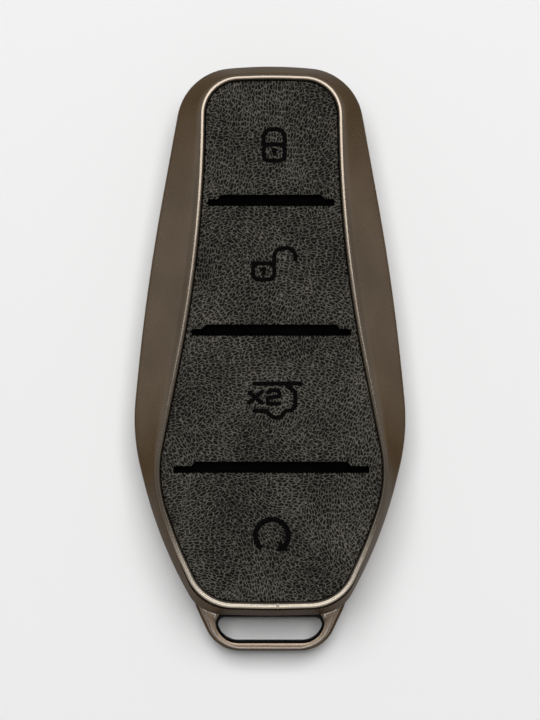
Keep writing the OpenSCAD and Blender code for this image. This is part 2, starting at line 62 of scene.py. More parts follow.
# Corners of the body's outline and of the panel's, from the top centre down the right side:
# shares of the half width and the half length, and a radius as a share of the half width.
outer_shares = [
    (0, 1.0061, 3.94), (0.625, 0.9765, 0.515), (0.9085, 0.205, 15.9), (1.019, -0.3375, 1.52),
    (0.825, -0.7273, 3.34), (0.5197, -0.9941, 0.289), (0, -1.0022, 6.75),
]
panel_shares = [
    (0, 0.9979, 5), (0.6, 0.9888, 0.327), (0.63, 0.3445, 11.1), (1.04, -0.531, 1.1),
    (0.845, -0.7693, 3.23), (0.6024, -0.9966, 0.422), (0, -1.003, 6.5),
]


def both_halves(right):
    """A closed outline from its right half, whose two ends lie on the centre line."""
    return np.array(list(right) + [(-p[0], *p[1:]) for p in right[-2:0:-1]], float)


def moved_in(corners, inset):
    """Clockwise corners (x, y, radius) moved inward, with their roundings kept parallel."""
    spots = corners[:, :2]
    before, after = spots - np.roll(spots, 1, 0), np.roll(spots, -1, 0) - spots
    before /= np.linalg.norm(before, axis=1)[:, None]
    after /= np.linalg.norm(after, axis=1)[:, None]
    inward = np.stack([before[:, 1] + after[:, 1], -before[:, 0] - after[:, 0]], 1)
    moved = spots + inset * inward / (1 + (before * after).sum(1))[:, None]
    turn = before[:, 0] * after[:, 1] - before[:, 1] * after[:, 0]
    radius = np.maximum(0.1, corners[:, 2] + np.where(turn > 0, inset, -inset))
    return np.column_stack([moved, radius])


def rounding(corners, i, steps):
    """Points of the rounding at one corner; two roundings share a short edge in proportion."""
    n = len(corners)

    def half_angle(j):
        a = corners[j - 1, :2] - corners[j % n, :2]
        b = corners[(j + 1) % n, :2] - corners[j % n, :2]
        return math.acos(np.clip(a @ b / np.linalg.norm(a) / np.linalg.norm(b), -1, 1)) / 2

    def wanted(j):
        return corners[j % n, 2] / math.tan(half_angle(j % n))

    def edge(j):
        return np.linalg.norm(corners[(j + 1) % n, :2] - corners[j % n, :2])

    spot, half = corners[i, :2], half_angle(i)
    take = wanted(i) * min(1, edge(i - 1) / (wanted(i) + wanted(i - 1)),
                           edge(i) / (wanted(i) + wanted(i + 1)))
    a = corners[i - 1, :2] - spot
    b = corners[(i + 1) % n, :2] - spot
    a, b = a / np.linalg.norm(a), b / np.linalg.norm(b)
    centre = spot + (a + b) / np.linalg.norm(a + b) * take * math.tan(half) / math.sin(half)
    start, end = spot + a * take - centre, spot + b * take - centre
    turn = math.atan2(start[0] * end[1] - start[1] * end[0], start @ end)
    w = np.linspace(0, turn, steps + 1)
    return centre + np.column_stack([start[0] * np.cos(w) - start[1] * np.sin(w),
                                     start[0] * np.sin(w) + start[1] * np.cos(w)])


def evenly(path, steps):
    """The inner points of a path walked again in equal steps."""
    s = np.r_[0, np.cumsum(np.linalg.norm(np.diff(path, axis=0), axis=1))]
    t = np.linspace(0, s[-1], steps + 1)[1:-1]
    return np.column_stack([np.interp(t, s, path[:, 0]), np.interp(t, s, path[:, 1])])


def outline(corners, crown=12, corner=14, side=90):
    """Rounded outline with the same number of points for every inset, clockwise from the top."""
    top, first = rounding(corners, 0, crown), rounding(corners, 1, corner)
    last, bottom = rounding(corners, 5, corner), rounding(corners, 6, crown)
    flank = np.concatenate([first[-1:]] + [rounding(corners, i, corner) for i in (2, 3, 4)]
                           + [last[:1]])
    return both_halves(np.concatenate([top[crown // 2:], first, evenly(flank, side), last,
                                       bottom[:crown // 2 + 1]]))


outer_corners = both_halves([(x * half_width, y * half_length, r * half_width)
                             for x, y, r in outer_shares])
panel_corners = both_halves([(x * panel_half_width, y * panel_half_length, r * panel_half_width)
                             for x, y, r in panel_shares])
panel_shift = np.zeros(2)  # how far the opening lies off the centre line, mm: none at the rear


def plan(share, inset):
    """Plan of the cover between the body's outline, share 0, and the ring's edge, share 1."""
    panel = outline(moved_in(panel_corners, inset - ring_width / 2)) + panel_shift
    return (1 - share) * outline(moved_in(outer_corners, inset)) + share * panel


def eased(levels, steps=5):
    """Section levels (share, inset, height, easing in mm) with each corner rounded."""
    out = []
    for i, (share, inset, height, easing) in enumerate(levels):
        here = np.array((share, inset, height), float)
        if not easing:
            out.append(here)
            continue
        cuts = []
        for other in (levels[i - 1], levels[(i + 1) % len(levels)]):
            d = np.array(other[:3], float) - here
            reach = math.hypot(d[0] * flank_run + d[1], d[2])
            cuts.append(here + d * min(0.49, easing / reach))
        for t in np.linspace(0, 1, steps + 1):
            out.append((1 - t) ** 2 * cuts[0] + 2 * t * (1 - t) * here + t * t * cuts[1])
    return out


def lifted(points, height):
    """Plan points in mm as 3-D points at one height."""
    return np.column_stack([points, np.full(len(points), float(height))])


def walls(rings, closed):
    """Quads between rings of equal point counts, and back to the first ring where closed."""
    n, m = len(rings[0]), len(rings)
    faces = [(j * n + i, j * n + (i + 1) % n, (j + 1) % m * n + (i + 1) % n, (j + 1) % m * n + i)
             for j in range(m if closed else m - 1) for i in range(n)]
    return np.concatenate(rings), faces


def make_piece(name, shells, finishes, body=None, sharp=32, second=None):
    """One object from shells (points in mm, faces), welded, with smooth faces up to an angle.
    second is a test on a face's centre in mm and its normal that picks the second finish."""
    mesh = bmesh.new()
    for points, faces in shells:
        made = [mesh.verts.new(Vector((x * MM, (y + BODY_SHIFT) * MM, z * MM)))
                for x, y, z in points]
        for f in faces:
            mesh.faces.new([made[i] for i in f])
    bmesh.ops.remove_doubles(mesh, verts=mesh.verts, dist=2e-7)
    bmesh.ops.dissolve_degenerate(mesh, edges=mesh.edges, dist=1e-7)
    bmesh.ops.recalc_face_normals(mesh, faces=mesh.faces)
    for f in mesh.faces:
        f.smooth = True
        if second:
            centre = f.calc_center_median() / MM - Vector((0, BODY_SHIFT, 0))
            f.material_index = 1 if second(centre, f.normal) else 0
    data = bpy.data.meshes.new(name)
    mesh.to_mesh(data)
    mesh.free()
    data.set_sharp_from_angle(angle=math.radians(sharp))
    piece = bpy.data.objects.new(name, data)
    bpy.context.scene.collection.objects.link(piece)
    for finish in finishes:
        data.materials.append(finish)
    if body:
        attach(piece, body)
    return piece


def colour(code):
    """An sRGB hex colour as the linear RGBA that a shader takes."""
    parts = [int(code[i:i + 2], 16) / 255 for i in (1, 3, 5)]
    return (*[c / 12.92 if c <= 0.04045 else ((c + 0.055) / 1.055) ** 2.4 for c in parts], 1)


def new_finish(name):
    """A material with its principled shader."""
    finish = bpy.data.materials.new(name)
    finish.use_nodes = True
    return finish, finish.node_tree.nodes["Principled BSDF"]


def add(finish, kind, settings=None, links=None):
    """Adds one node to a finish, with its settings and its incoming links."""
    made = finish.node_tree.nodes.new(kind)
    for key, value in (settings or {}).items():
        if isinstance(key, int) or key in made.inputs:
            made.inputs[key].default_value = value
        else:
            setattr(made, key, value)
    for key, source in (links or {}).items():
        finish.node_tree.links.new(source, made.inputs[key])
    return made


def wire(finish, shader, sources):
    """Links the sources to the inputs of a finish's shader."""
    for key, source in sources.items():
        finish.node_tree.links.new(source, shader.inputs[key])


def tinted(finish, level, stops):
    """The colour that a level picks from a ramp with (place, hex colour) stops."""
    made = add(finish, "ShaderNodeValToRGB", links={"Fac": level})
    held = made.color_ramp.elements
    for i, (place, code) in enumerate(stops):
        stop = held[i] if i < 2 else held.new(place)
        stop.position, stop.color = place, colour(code)
    return made.outputs["Color"]


def noise(finish, where, size, detail):
    """Cloudy noise with spots of a size in mm."""
    return add(finish, "ShaderNodeTexNoise", {"Scale": 1 / size, "Detail": detail},
               {"Vector": where})


def places_in_mm(finish, flat=False):
    """The object's own coordinates in millimetres; flat leaves the height out."""
    spot = add(finish, "ShaderNodeTexCoord")
    return add(finish, "ShaderNodeVectorMath",
               {"operation": "MULTIPLY", 1: (1000, 1000, 0 if flat else 1000)},
               {0: spot.outputs["Object"]}).outputs["Vector"]


# Satin bronze coating on blasted zinc alloy: a lacquer half filled with dark warm metal
# flakes, whose reflections are spread by the grit's marks, about 0.12 mm apart; drawn at
# 0.2 mm, as finer grain is lost in the picture. A slow colour drift, some 9 mm long, comes
# from the coating's thickness.
satin_bronze, shader = new_finish("satin bronze coating on blasted zinc alloy")
shader.inputs["Metallic"].default_value = 0.6
shader.inputs["Specular IOR Level"].default_value = 0
shader.inputs["Specular Tint"].default_value = colour("#968f88")  # the coat stays dark edge-on
where = places_in_mm(satin_bronze)
drift = noise(satin_bronze, where, 9, 3)
grit = noise(satin_bronze, where, 0.2, 2)
tone = add(satin_bronze, "ShaderNodeMix", {"data_type": "FLOAT", "Factor": 0.35},
           {2: drift.outputs["Fac"], 3: grit.outputs["Fac"]})
tint = tinted(satin_bronze, tone.outputs[0], [(0.3, "#5e5347"), (0.7, "#6c5f52")])
gloss = add(satin_bronze, "ShaderNodeMapRange", {"To Min": 0.21, "To Max": 0.31},
            {"Value": grit.outputs["Fac"]})
grain = add(satin_bronze, "ShaderNodeBump", {"Strength": 0.25, "Distance": 0.00002},
            {"Height": grit.outputs["Fac"]})
wire(satin_bronze, shader, {"Base Color": tint, "Roughness": gloss.outputs["Result"],
                            "Normal": grain.outputs["Normal"]})

# Heights of the rear half, mm: the flank's foot, the lip's inner face, where the wall begins
# to thin out towards the lip, the shoulder and the parting face.
rear_foot, rear_lip, rear_thinning, rear_shoulder, rear_top = 0.8, 1.75, 7.378, 7.95, 9.25
thinning_share = 0.08


def rear_share(height):
    """How far up the rear flank a height lies: 0 at the shoulder, 1 at the rim's foot."""
    return (rear_shoulder - height) / (rear_shoulder - rear_foot)


# Levels of its section: share, inset, height and easing, as for all that eased() takes.
rear_section = eased([
    (1, 0.3, 0, 0.12), (1, 0, 0.75, 0.4), (0.5, -0.1, 4.375, 1.6), (0, 0, rear_shoulder, 0.8),
    (0, 0, rear_top, 0.12), (0, frame_wall, rear_top, 0.1), (0, frame_wall, rear_shoulder, 0.2),
    (thinning_share, frame_wall, rear_thinning, 0),
    (rear_share(rear_lip), ring_width, rear_lip, 0), (1, ring_width, rear_lip, 0),
    (1, ring_width, 0, 0.15),
])
rear_rings = [lifted(plan(s, i), z) for s, i, z in rear_section]
rear_shell = make_piece("rear_shell", [walls(rear_rings, closed=True)], [satin_bronze], "rear_half")
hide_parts("rear_frame")

# --- Key-ring loop ------------------------------------------------------------------------
# The loop is cast in one with the rear shell: a flat U round a slot, with steep drafted
# sides. Its raised face is bright-cut with a narrow chamfer all round after coating, which
# bares the metal as a fine light line.

body_end = -45.024
plate_bottom, plate_top, face_height = 3.15, 6.95, 7.55
bush_wall = 0.4
loop_side = [(12.2, -39.642, 0.13), (12.85, -41.982, 1.95), (12.2, -44.087, 3.9),
             (8.85, -51.224, 6)]
slot_side = [(8.8, body_end - 0.15, 1.3), (8, body_end - 4.35, 3.3)]


def two_sided(right):
    """Closed corners from those of the right side."""
    return np.array(list(right) + [(-x, y, r) for x, y, r in right[::-1]], float)


def rounded(corners, steps=12):
    """All the roundings of a closed list of corners."""
    return np.concatenate([rounding(corners, i, steps) for i in range(len(corners))])


def capped(rings):
    """Walls between rings, and a flat face over the first ring and over the last."""
    points, faces = walls(rings, closed=False)
    n, m = len(rings[0]), len(points)
    return points, faces + [tuple(range(n - 1, -1, -1)), tuple(range(m - n, m))]


def inside(points, loop):
    """Which points lie inside a closed outline."""
    x, y = points[:, 0][:, None], points[:, 1][:, None]
    a, b = loop[None, :, :], np.roll(loop, -1, 0)[None, :, :]
    straddle = (a[..., 1] > y) != (b[..., 1] > y)
    rise = np.where(b[..., 1] == a[..., 1], 1e-12, b[..., 1] - a[..., 1])
    at = a[..., 0] + (y - a[..., 1]) * (b[..., 0] - a[..., 0]) / rise
    return (straddle & (x < at)).sum(1) % 2 == 1


def filled(outlines, points=(), lines=()):
    """Points and triangles of a flat region inside the first outline and outside the others,
    with extra points, and with lines that no triangle crosses."""
    spots, edges = [], []
    for loop in outlines:
        start = len(spots)
        spots += [Vector(p) for p in loop]
        edges += [(start + i, start + (i + 1) % len(loop)) for i in range(len(loop))]
    spots += [Vector(p) for p in points]
    for p, q in lines:
        edges.append((len(spots), len(spots) + 1))
        spots += [Vector(p), Vector(q)]
    flat, _, faces = delaunay_2d_cdt(spots, edges, [], 0, 1e-6)[:3]
    flat, faces = np.array([tuple(p) for p in flat]), np.array([tuple(f) for f in faces])
    centres = flat[faces].mean(1)
    kept = inside(centres, np.array([tuple(p) for p in outlines[0]]))
    for hole in outlines[1:]:
        kept &= ~inside(centres, np.array([tuple(p) for p in hole]))
    return flat, faces[kept]


def plate_outline(inset, height):
    """Outline of the loop's plate at a height; its inner end lies inside the shell's wall."""
    corners = moved_in(two_sided(loop_side), inset)
    right = np.concatenate([rounding(corners, i, 14) for i in (0, 1, 2, 3)])
    left = np.column_stack([-right[::-1, 0], right[::-1, 1]])
    wall = plan(rear_share(height), frame_wall / 2)
    wall = wall[wall[:, 1] < -30]  # the wide end
    wall = wall[np.argsort(wall[:, 0])]
    across = np.linspace(-right[0, 0], right[0, 0], 31)
    return np.concatenate([right, left, np.column_stack(
        [across, np.interp(across, wall[:, 0], wall[:, 1])])])


# Insets and heights of the plate's section, mm.
plate_levels = [(0.35, plate_bottom), (0.12, 3.22), (0, 3.5), (0, 5.3), (0.05, 5.7),
                (0.5, plate_top)]
plate_rings = [lifted(plate_outline(i, z), z) for i, z in plate_levels]
slot_out = rounded(moved_in(two_sided(slot_side), -bush_wall))
slot_rings = [lifted(slot_out, z) for z in (plate_bottom, plate_top)]
shells = [walls(plate_rings, closed=False), walls(slot_rings, closed=False)]
for ring in (plate_rings[0], plate_rings[-1]):
    flat, faces = filled([ring[:, :2], slot_out])
    shells.append((lifted(flat, ring[0, 2]), faces))

# Corners of the raised U, clockwise: right leg, foot, left leg, then back round the slot.
outer_side = [(11.37, -43.76, 0.15), (8.27, -50.77, 5.6)]
slot_edge = [(8.75, -44.84, 0.15), (9.1, -45.85, 0.6), (8.35, -49.8, 3.7)]
raised = np.array(outer_side + [(-x, y, r) for x, y, r in outer_side[::-1] + slot_edge]
                  + slot_edge[::-1])
per_corner = 13  # points of one corner's rounding
root_step = np.zeros((len(raised), 3))  # the edge next to the body is rolled up a little
root_step[[0, 9]], root_step[[3, 4]] = (0.08, -0.18, 0.05), (-0.08, -0.18, 0.05)
slot_part = np.zeros((len(raised), 1))  # the edge next to the slot takes 0.4 of each inset
slot_part[5:9] = 1
root_step, slot_part = (np.repeat(a, per_corner, axis=0) for a in (root_step, slot_part))
base = rounded(raised)
# Levels of its section: inset, shares of the root's step in plan and in height, height.
raised_levels = [
    (0, 0, 0, 6.9), (0, 0, 0, face_height - 0.12), (0.04, -0.5, 1, face_height - 0.05),
    (0.1, -0.2, 1, face_height - 0.018), (0.2, 1, 0, face_height),
]
raised_rings = []
for inset, root, roll, height in raised_levels:
    ring = rounded(moved_in(raised, inset))
    ring = slot_part * (0.6 * base + 0.4 * ring) + (1 - slot_part) * ring
    raised_rings.append(lifted(ring, height) + (root, root, roll) * root_step)
shells.append(capped(raised_rings))

# Bright-cut zinc alloy: bare polished metal, light and a little warm, with fine cutter marks.
bright_cut, shader = new_finish("bright-cut zinc alloy")
shader.inputs["Metallic"].default_value = 1
where = places_in_mm(bright_cut)
marks = noise(bright_cut, where, 0.3, 2)
tint = tinted(bright_cut, marks.outputs["Fac"], [(0.3, "#7b7571"), (0.7, "#8a8480")])
gloss = add(bright_cut, "ShaderNodeMapRange", {"To Min": 0.24, "To Max": 0.34},
            {"Value": marks.outputs["Fac"]})
wire(bright_cut, shader, {"Base Color": tint, "Roughness": gloss.outputs["Result"]})

bare_above = 7.36  # mm; above it the metal is bare where it is neither upright nor flat
key_loop = make_piece("key_loop", shells, [satin_bronze, bright_cut], "rear_half",
                      second=lambda c, n: c.z > bare_above and 0.1 < n.z < 0.9999)
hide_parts("rear_frame")

# --- Slot bush ----------------------------------------------------------------------------
# A thin bush of black nylon is pressed into the loop's slot, so that a strap or a ring runs
# on it and not on the coated metal. Its two lips are rounded.

# Insets and heights of its section, mm, and how much wider the upper lip is next to the body;
# that wider black lip is a dark strip put where shade falls under the body's edge, painted shade.
shade_lip = 0.33
bush_section = [(-0.39, 3.15, 0), (-0.39, 7.2, 0), (-0.36, 7.4, 0), (-0.27, 7.52, 0),
                (-0.17, 7.54, shade_lip), (-0.07, 7.46, shade_lip), (0, 7.25, shade_lip), (-0.22, 3.3, 0),
                (-0.3, 3.16, 0)]
bush_rings = []
for inset, height, wider in bush_section:
    corners = two_sided(slot_side)
    corners[[0, 3], 1] -= wider
    bush_rings.append(lifted(rounded(moved_in(corners, inset)), height))

# Moulded black nylon: deep black with a soft gloss from its own smooth skin.
black_nylon, shader = new_finish("moulded black nylon")
where = places_in_mm(black_nylon)
skin = noise(black_nylon, where, 0.25, 3)
tint = tinted(black_nylon, skin.outputs["Fac"], [(0.3, "#070606"), (0.7, "#0d0c0b")])
shader.inputs["IOR"].default_value = 1.53
shader.inputs["Specular IOR Level"].default_value = 0.05
gloss = add(black_nylon, "ShaderNodeMapRange", {"To Min": 0.4, "To Max": 0.55},
            {"Value": skin.outputs["Fac"]})
wire(black_nylon, shader, {"Base Color": tint, "Roughness": gloss.outputs["Result"]})

loop_bush = make_piece("loop_bush", [walls(bush_rings, closed=True)], [black_nylon], "rear_half")
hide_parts("slot_bush")

# --- Rear leather -------------------------------------------------------------------------
# The rear panel is a single piece of crackle-grained leather, die-cut, glued to its board
# and sunk a little inside the rear rim, so that the rim and not the leather wears.


def crackle_grain(finish):
    """Heights 0 to 1 of the grain: thin raised lines round cells some 0.45 mm wide. The cells
    lie stretched and turned in patches of 6 to 7 mm, and faint long veins cross them."""
    where = places_in_mm(finish, flat=True)
    patch = add(finish, "ShaderNodeTexVoronoi",
                {"voronoi_dimensions": "2D", "Scale": 1 / 6.5}, {"Vector": where})
    lot = add(finish, "ShaderNodeSeparateColor", links={"Color": patch.outputs["Color"]})
    turn = add(finish, "ShaderNodeMath", {"operation": "MULTIPLY", 1: math.pi},
               {0: lot.outputs["Red"]})
    turned = add(finish, "ShaderNodeVectorRotate", {"rotation_type": "Z_AXIS"},
                 {"Vector": where, "Angle": turn.outputs[0]})
    stretched = add(finish, "ShaderNodeVectorMath", {"operation": "MULTIPLY", 1: (1, 0.54, 1)},
                    {0: turned.outputs["Vector"]})
    shake = noise(finish, where, 0.75, 1)
    shaken = add(finish, "ShaderNodeVectorMath",
                 {"operation": "MULTIPLY_ADD", 1: (0.6, 0.6, 0)},
                 {0: shake.outputs["Color"], 2: stretched.outputs["Vector"]})
    cells = add(finish, "ShaderNodeTexVoronoi",
                {"feature": "DISTANCE_TO_EDGE", "voronoi_dimensions": "2D", "Scale": 1 / 0.45,
                 "Randomness": 0.8}, {"Vector": shaken.outputs["Vector"]})
    lines = add(finish, "ShaderNodeMapRange",
                {"interpolation_type": "SMOOTHSTEP", "From Max": 0.24, "To Min": 1, "To Max": 0},
                {"Value": cells.outputs["Distance"]})
    wander = noise(finish, where, 2.5, 2)
    wandered = add(finish, "ShaderNodeVectorMath",
                   {"operation": "MULTIPLY_ADD", 1: (1.2, 1.2, 0)},
                   {0: wander.outputs["Color"], 2: where})
    veins = add(finish, "ShaderNodeTexVoronoi",
                {"feature": "DISTANCE_TO_EDGE", "voronoi_dimensions": "2D", "Scale": 1 / 6.5},
                {"Vector": wandered.outputs["Vector"]})
    vein = add(finish, "ShaderNodeMapRange",
               {"interpolation_type": "SMOOTHSTEP", "From Max": 0.01, "To Min": 1, "To Max": 0},
               {"Value": veins.outputs["Distance"]})
    both = add(finish, "ShaderNodeMath", {"operation": "MAXIMUM"},
               {0: lines.outputs["Result"], 1: vein.outputs["Result"]})
    wear = noise(finish, where, 0.55, 1)
    kept = add(finish, "ShaderNodeMapRange",
               {"interpolation_type": "SMOOTHSTEP", "From Min": 0.34, "From Max": 0.5,
                "To Min": 0.68, "To Max": 1}, {"Value": wear.outputs["Fac"]})
    return where, add(finish, "ShaderNodeMath", {"operation": "MULTIPLY"},
                      {0: both.outputs[0], 1: kept.outputs["Result"]}).outputs[0]


# Crackle-grained coated leather: a dark warm grey coat that is rubbed lighter on the raised
# lines of its grain. The coat is matt, so the lines show by their colour and their height.
crackle_leather, shader = new_finish("crackle-grained coated leather")
shader.inputs["IOR"].default_value = 1.46
shader.inputs["Specular IOR Level"].default_value = 0.07
where, height = crackle_grain(crackle_leather)
patches = noise(crackle_leather, where, 11, 2)
fine = noise(crackle_leather, where, 0.4, 2)
flecks = add(crackle_leather, "ShaderNodeMath", {"operation": "MULTIPLY_ADD", 1: 0.5, 2: -0.37},
             {0: fine.outputs["Fac"]})
drift = add(crackle_leather, "ShaderNodeMath", {"operation": "MULTIPLY_ADD", 1: 0.8},
            {0: patches.outputs["Fac"], 2: flecks.outputs[0]})
lightened = add(crackle_leather, "ShaderNodeMath", {"operation": "MULTIPLY_ADD", 1: 0.8, 2: -0.2},
             {0: height})
tone = add(crackle_leather, "ShaderNodeMath", {"operation": "ADD", "use_clamp": True},
           {0: lightened.outputs[0], 1: drift.outputs[0]})
tint = tinted(crackle_leather, tone.outputs[0],
              [(0, "#0c0a08"), (1, "#615e56"), (0.3, "#1d1b18")])
relief = add(crackle_leather, "ShaderNodeBump", {"Strength": 0.6, "Distance": 0.00006},
             {"Height": height})
gloss = add(crackle_leather, "ShaderNodeMapRange", {"To Min": 0.72, "To Max": 0.55},
            {"Value": height})
wire(crackle_leather, shader, {"Base Color": tint, "Roughness": gloss.outputs["Result"],
                               "Normal": relief.outputs["Normal"]})

# Insets and heights of its section, mm: square next to the board, rounded at the face.
rear_leather_section = [(1.12, 1.15), (1.07, 1.12), (1.07, 0.6), (1.1, 0.47), (1.18, 0.39),
                        (1.3, 0.355), (1.45, 0.35)]
leather_rings = [lifted(plan(1, i), z) for i, z in rear_leather_section]
rear_panel = make_piece("rear_leather_panel", [capped(leather_rings)], [crackle_leather],
                        "rear_half")
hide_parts("rear_leather")

# --- Rear board ---------------------------------------------------------------------------
# A die-cut sheet of pressed fibre board stiffens the rear leather. It is hidden between the
# leather and the tray, so the CAD solid stays and only gets its finish.

# Black pressed fibre board: short flat fibres, about half a millimetre long, in a matt black.
fibre_board, shader = new_finish("black pressed fibre board")
where = places_in_mm(fibre_board)
fibres = add(fibre_board, "ShaderNodeTexNoise", {"Scale": 1 / 0.5, "Detail": 4, "Distortion": 1},
             {"Vector": where})
tint = tinted(fibre_board, fibres.outputs["Fac"], [(0.3, "#141413"), (0.75, "#2a2927")])
shader.inputs["Roughness"].default_value = 0.9
wire(fibre_board, shader, {"Base Color": tint})


def refinish(node, finish):
    """Gives a CAD solid that stays its finish."""
    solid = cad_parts[node]
    if not solid.material_slots:
        solid.data.materials.append(finish)
    for place in solid.material_slots:
        place.material = finish


refinish("rear_board", fibre_board)

# --- Rear liner ---------------------------------------------------------------------------
# A black tray moulded in ABS holds the fob off the metal. Its rim stands into the front
# half, where six low ribs snap into a groove and hold the cover shut.

liner_inset, cavity_inset, lip_liner_inset = 1.45, 2.25, 1.07
tray_floor, groove_height, rim_top = 2.55, 9.85, 10.1
floor_share = rear_share(tray_floor)
tray_section = eased([
    (rear_share(rear_lip), lip_liner_inset, rear_lip, 0),
    (thinning_share, liner_inset, rear_thinning, 0.3), (0, liner_inset, rear_shoulder, 0.2),
    (0, liner_inset, rim_top, 0.2), (0, cavity_inset, rim_top, 0.2),
    (0, cavity_inset, rear_shoulder, 0.3), (thinning_share, cavity_inset, rear_thinning, 0.3),
    (floor_share, cavity_inset, tray_floor, 0.5), (floor_share, cavity_inset + 1, tray_floor, 0),
])
shells = [capped([lifted(plan(s, i), z) for s, i, z in tray_section])]

# Snap ribs, three a side: rods with rounded ends, sunk into the rim but for their reach.
# Their section gives places along a rib and radii, mm.
rib_length, rib_radius, rib_reach = 6, 0.2, 0.1
rib_section = [(0, 0.02), (0.03, 0.12), (0.12, 0.18), (0.3, rib_radius), (5.7, rib_radius),
               (5.88, 0.18), (5.97, 0.12), (rib_length, 0.02)]
turns = np.linspace(0, 2 * math.pi, 17)[:-1, None]
side = plan(0, liner_inset - rib_reach + rib_radius)
side = side[:len(side) // 2 + 1]
for place in (0.55, 0, -0.55):
    y = place * half_length + np.array([rib_length / 2, -rib_length / 2])
    x = np.interp(y, side[::-1, 1], side[::-1, 0])
    ends = np.column_stack([x, y, [groove_height] * 2])
    along = (ends[1] - ends[0]) / np.linalg.norm(ends[1] - ends[0])
    out = np.array([-along[1], along[0], 0])
    around = np.cos(turns) * out + np.sin(turns) * (0, 0, 1)
    rings = [ends[0] + along * t + r * around for t, r in rib_section]
    shells += [capped([ring * (flip, 1, 1) for ring in rings]) for flip in (1, -1)]

# Moulded ABS with a spark-eroded texture: matt black, with a grain of about 0.15 mm pressed
# into it by the mould; drawn at 0.3 mm, as finer grain is lost in the picture.
moulded_abs, shader = new_finish("moulded black ABS, eroded texture")
where = places_in_mm(moulded_abs)
skin = noise(moulded_abs, where, 0.3, 3)
tint = tinted(moulded_abs, skin.outputs["Fac"], [(0.3, "#181818"), (0.7, "#232324")])
shader.inputs["IOR"].default_value = 1.54
shader.inputs["Roughness"].default_value = 0.55
grain = add(moulded_abs, "ShaderNodeBump", {"Strength": 0.4, "Distance": 0.00002},
            {"Height": skin.outputs["Fac"]})
wire(moulded_abs, shader, {"Base Color": tint, "Normal": grain.outputs["Normal"]})

liner_tray = make_piece("liner_tray", shells, [moulded_abs], "rear_half")
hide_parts("rear_liner")

# --- Rear cushion -------------------------------------------------------------------------
# A thin sheet of black foam with a fine knit face lies glued on the tray's floor, so that
# the fob doesn't rattle. Its edge is pinched low by the die that cut it.

# Insets and heights of its section, mm.
cushion_section = [(2.8, tray_floor), (2.77, 2.6), (2.78, 2.72), (2.85, 2.85), (3.0, 2.95),
                   (3.3, 3.01), (3.8, 3.035), (4.6, 3.045), (6, 3.05)]
cushion_rings = [lifted(plan(floor_share, i), z) for i, z in cushion_section]

# Knit-faced foam: rows of tiny loops about 0.2 mm apart, black, with a soft nap. The bands of
# a wave node lie 0.31 / Scale apart.
knit_foam, shader = new_finish("knit-faced black foam")
where = places_in_mm(knit_foam, flat=True)
rows = add(knit_foam, "ShaderNodeTexWave",
           {"Scale": 1 / 0.6, "bands_direction": "X", "Distortion": 1.2, "Detail": 1,
            "Detail Scale": 2}, {"Vector": where})
loops = add(knit_foam, "ShaderNodeTexWave",
            {"Scale": 1 / 0.6, "bands_direction": "Y", "Distortion": 1.2, "Detail": 1,
             "Detail Scale": 2}, {"Vector": where})
weave = add(knit_foam, "ShaderNodeMath", {"operation": "MULTIPLY"},
            {0: rows.outputs["Fac"], 1: loops.outputs["Fac"]})
tint = tinted(knit_foam, weave.outputs[0], [(0, "#151515"), (1, "#3a3a3c")])
shader.inputs["Roughness"].default_value = 0.95
shader.inputs["Sheen Weight"].default_value = 0.3
nap = add(knit_foam, "ShaderNodeBump", {"Strength": 0.6, "Distance": 0.0001},
          {"Height": weave.outputs[0]})
wire(knit_foam, shader, {"Base Color": tint, "Normal": nap.outputs["Normal"]})

foam_sheet = make_piece("foam_sheet", [capped(cushion_rings)], [knit_foam], "rear_half", sharp=60)
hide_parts("rear_cushion")

# --- Front shell --------------------------------------------------------------------------
# The front half is the same casting turned over, but open in the middle: its flank rolls
# over flatter next to the ring, and a lip inside it carries the ring's seat. It is blasted
# and coated with the rear half.

# Heights of the front half, mm: the parting face, the shoulder, where the wall begins to thin
# out, the lip's inner face, the ring's seat, the flank's top, and its roll up to the ring.
front_bottom, front_shoulder, front_thinning = 9.35, 10.65, 11.222
lip_bottom, ring_seat, flank_top, bead_foot = 16.3, 17.0, 17.8, 18.5
panel_shift = np.array((0.26, 0))  # the front opening sits a little to the right


def front_share(height):
    """How far up the front flank a height lies: 0 at the shoulder, 1 at its top."""
    return (height - front_shoulder) / (flank_top - front_shoulder)


groove_inset = frame_wall - 0.2  # the groove that takes the snap ribs


def front_rings_with(top_levels):
    """Rings of the shell's section, with the given levels where its flank meets the ring."""
    return np.array([lifted(plan(s, i), z) for s, i, z in eased([
        (0, 0, front_bottom, 0.12), (0, 0, front_shoulder, 0.8), (0.45, -0.1, 14.1, 1.6),
        *top_levels, (1, 0, ring_seat, 0),
        (1, ring_width, ring_seat, 0), (1, ring_width, lip_bottom, 0.1),
        (front_share(lip_bottom), ring_width, lip_bottom, 0),
        (thinning_share, frame_wall, front_thinning, 0.2),
        (0, frame_wall, front_shoulder, 0.2), (0, frame_wall, groove_height + 0.3, 0),
        (0, groove_inset, groove_height + 0.2, 0), (0, groove_inset, groove_height - 0.2, 0),
        (0, frame_wall, groove_height - 0.3, 0), (0, frame_wall, front_bottom, 0.1),
    ])])


# Most of the way round the flank runs up to the ring; at the wide end a groove parts them,
# which begins and is full at these places along the cover, mm.
parting_begins, parting_full = -33, -41
smooth_top = front_rings_with([(0.88, 0, 17.85, 0.4), (0.98, 0, 18.4, 0), (1, 0, bead_foot, 0)])
grooved_top = front_rings_with([(0.78, 0, 17.5, 0.15), (0.85, 0, 16.5, 0), (1, 0, 16.4, 0)])
grooved = np.clip((parting_begins - plan(1, 0)[:, 1]) / (parting_begins - parting_full), 0, 1)
grooved = (grooved * grooved * (3 - 2 * grooved))[None, :, None]
front_rings = list((1 - grooved) * smooth_top + grooved * grooved_top)
front_shell = make_piece("front_shell", [walls(front_rings, closed=True)], [satin_bronze],
                         "front_half")
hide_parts("front_frame")

